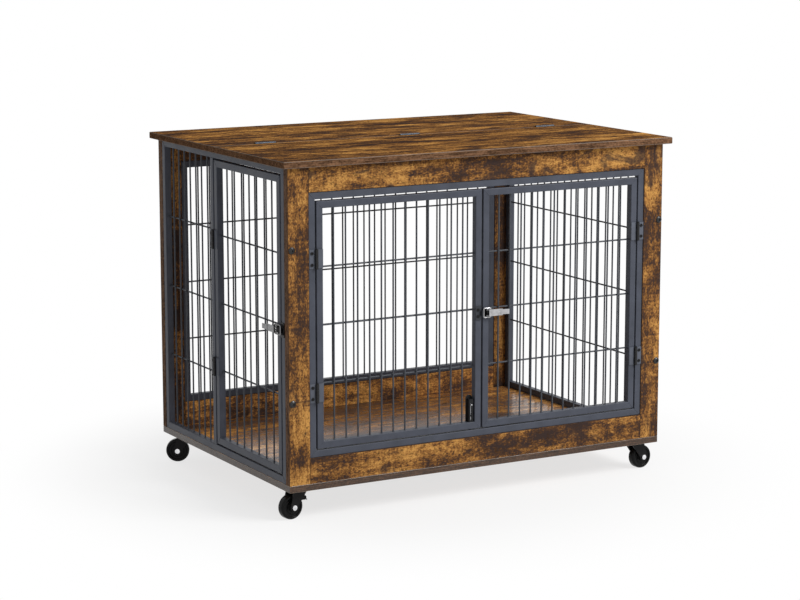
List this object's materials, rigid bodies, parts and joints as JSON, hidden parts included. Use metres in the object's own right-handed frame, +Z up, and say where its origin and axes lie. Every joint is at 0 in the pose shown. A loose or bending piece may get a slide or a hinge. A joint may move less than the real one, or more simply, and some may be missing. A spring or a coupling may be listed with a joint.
{
  "type": "pet cage",
  "caption": "End-table dog crate in rustic brown boards on swivel casters, with wire-grille walls in steel tube, hinged front doors, a side door and a flip-up lid.",
  "frame": {"origin": "middle of the footprint on the floor under the casters", "axes": "+X along the width to the right as seen from the front doors, +Y from the front doors to the back, +Z up"},
  "size_m": [0.8, 0.56, 0.633],
  "materials": {
    "wood": "satin",
    "tube": "satin",
    "wire": "satin",
    "leaf": "satin",
    "black_metal": "satin",
    "fastener": "satin",
    "latch": "polished",
    "caster_metal": "satin",
    "wheel": "gloss",
    "pedal": "satin",
    "axle": "polished"
  },
  "bodies": {
    "cage": {"base_panel": "wood", "front_left_post": "wood", "front_right_post": "wood", "rear_left_post": "wood", "rear_right_post": "wood", "front_top_rail": "wood", "front_bottom_rail": "wood", "rear_top_rail": "wood", "rear_bottom_rail": "wood", "rear_top_panel": "wood", "front_frame": "tube", "rear_frame": "tube", "left_side_frame": "tube", "right_side_frame": "tube", "rear_grille": "wire", "left_side_grille": "wire", "right_side_grille": "wire", "hinge_frame_leaves": "leaf", "hinge_pins": "black_metal", "lid_hinge_rear_leaves": "black_metal", "side_latch_keeper": "black_metal", "frame_screws": "fastener", "post_bolts": "fastener", "caster_plates": "caster_metal", "caster_screws": "fastener"},
    "lid": {"front_lid": "wood", "lid_hinge_front_leaves": "black_metal"},
    "left_door": {"left_door_frame": "tube", "left_door_grille": "wire", "left_door_hinge_leaves": "leaf", "front_latch_keeper": "black_metal", "front_keeper_screws": "fastener", "floor_bolt_plate": "black_metal"},
    "right_door": {"right_door_frame": "tube", "right_door_grille": "wire", "right_door_hinge_leaves": "leaf", "front_latch_base": "latch"},
    "side_door": {"side_door_frame": "tube", "side_door_grille": "wire", "side_door_hinge_leaves": "leaf", "side_latch_base": "latch"},
    "front_lever": {"front_latch_lever": "latch"},
    "front_loop": {"front_latch_loop": "latch"},
    "side_lever": {"side_latch_lever": "latch"},
    "side_loop": {"side_latch_loop": "latch"},
    "floor_bolt": {"floor_bolt_rod": "latch"},
    "front_left_caster": {"front_left_fork": "caster_metal", "front_left_axle": "axle"},
    "front_left_roller": {"front_left_wheel": "wheel"},
    "front_right_caster": {"front_right_fork": "caster_metal", "front_right_axle": "axle"},
    "front_right_roller": {"front_right_wheel": "wheel"},
    "rear_left_caster": {"rear_left_fork": "caster_metal", "rear_left_axle": "axle"},
    "rear_left_roller": {"rear_left_wheel": "wheel"},
    "rear_right_caster": {"rear_right_fork": "caster_metal", "rear_right_axle": "axle"},
    "rear_right_roller": {"rear_right_wheel": "wheel"},
    "front_left_brake": {"front_left_brake_pedal": "pedal"}
  },
  "joints": [
    {"name": "lid_hinge", "type": "hinge", "parent": "cage", "child": "lid", "pos_m": [0, -0.005, 0.6306], "axis": [-1, 0, 0], "range_deg": [0, 175]},
    {"name": "left_door_hinge", "type": "hinge", "parent": "cage", "child": "left_door", "pos_m": [-0.333, -0.26935, 0.342], "axis": [0, 0, -1], "range_deg": [0, 175]},
    {"name": "right_door_hinge", "type": "hinge", "parent": "cage", "child": "right_door", "pos_m": [0.333, -0.26935, 0.342], "axis": [0, 0, 1], "range_deg": [0, 175]},
    {"name": "side_door_hinge", "type": "hinge", "parent": "cage", "child": "side_door", "pos_m": [-0.3896, 0.02725, 0.342], "axis": [0, 0, -1], "range_deg": [0, 175]},
    {"name": "front_latch_handle", "type": "hinge", "parent": "right_door", "child": "front_lever", "pos_m": [0.008, -0.271, 0.336], "axis": [0, 0, -1], "range_deg": [0, 110]},
    {"name": "front_latch_swing", "type": "hinge", "parent": "front_lever", "child": "front_loop", "pos_m": [0.015, -0.271, 0.336], "axis": [0, 0, -1], "range_deg": [-137.5, 0]},
    {"name": "side_latch_handle", "type": "hinge", "parent": "side_door", "child": "side_lever", "pos_m": [-0.39125, -0.2305, 0.337], "axis": [0, 0, 1], "range_deg": [0, 110]},
    {"name": "side_latch_swing", "type": "hinge", "parent": "side_lever", "child": "side_loop", "pos_m": [-0.39125, -0.2235, 0.337], "axis": [0, 0, 1], "range_deg": [-137.5, 0]},
    {"name": "floor_bolt_slide", "type": "slide", "parent": "left_door", "child": "floor_bolt", "axis": [0, 0, -1], "range_m": [0, 0.013]},
    {"name": "front_left_swivel", "type": "hinge", "parent": "cage", "child": "front_left_caster", "pos_m": [-0.358, -0.235, 0.048], "axis": [0, 0, 1], "continuous": true},
    {"name": "front_left_roll", "type": "hinge", "parent": "front_left_caster", "child": "front_left_roller", "pos_m": [-0.37084, -0.23703, 0.022], "axis": [0.1564, -0.9877, 0], "continuous": true},
    {"name": "front_left_brake_press", "type": "hinge", "parent": "front_left_caster", "child": "front_left_brake", "pos_m": [-0.34911, -0.23359, 0.037], "axis": [-0.1564, 0.9877, 0], "range_deg": [0, 18]},
    {"name": "front_right_swivel", "type": "hinge", "parent": "cage", "child": "front_right_caster", "pos_m": [0.358, -0.235, 0.048], "axis": [0, 0, 1], "continuous": true},
    {"name": "front_right_roll", "type": "hinge", "parent": "front_right_caster", "child": "front_right_roller", "pos_m": [0.37095, -0.23387, 0.022], "axis": [-0.0872, 0.9962, 0], "continuous": true},
    {"name": "rear_left_swivel", "type": "hinge", "parent": "cage", "child": "rear_left_caster", "pos_m": [-0.358, 0.235, 0.048], "axis": [0, 0, 1], "continuous": true},
    {"name": "rear_left_roll", "type": "hinge", "parent": "rear_left_caster", "child": "rear_left_roller", "pos_m": [-0.36948, 0.2411, 0.022], "axis": [-0.4695, -0.8829, 0], "continuous": true},
    {"name": "rear_right_swivel", "type": "hinge", "parent": "cage", "child": "rear_right_caster", "pos_m": [0.358, 0.235, 0.048], "axis": [0, 0, 1], "continuous": true},
    {"name": "rear_right_roll", "type": "hinge", "parent": "rear_right_caster", "child": "rear_right_roller", "pos_m": [0.37022, 0.23945, 0.022], "axis": [-0.342, 0.9397, 0], "continuous": true}
  ],
  "couplings": [
    {"joint": "front_latch_swing", "follows": "front_latch_handle", "ratio": -1.25},
    {"joint": "side_latch_swing", "follows": "side_latch_handle", "ratio": -1.25}
  ]
}
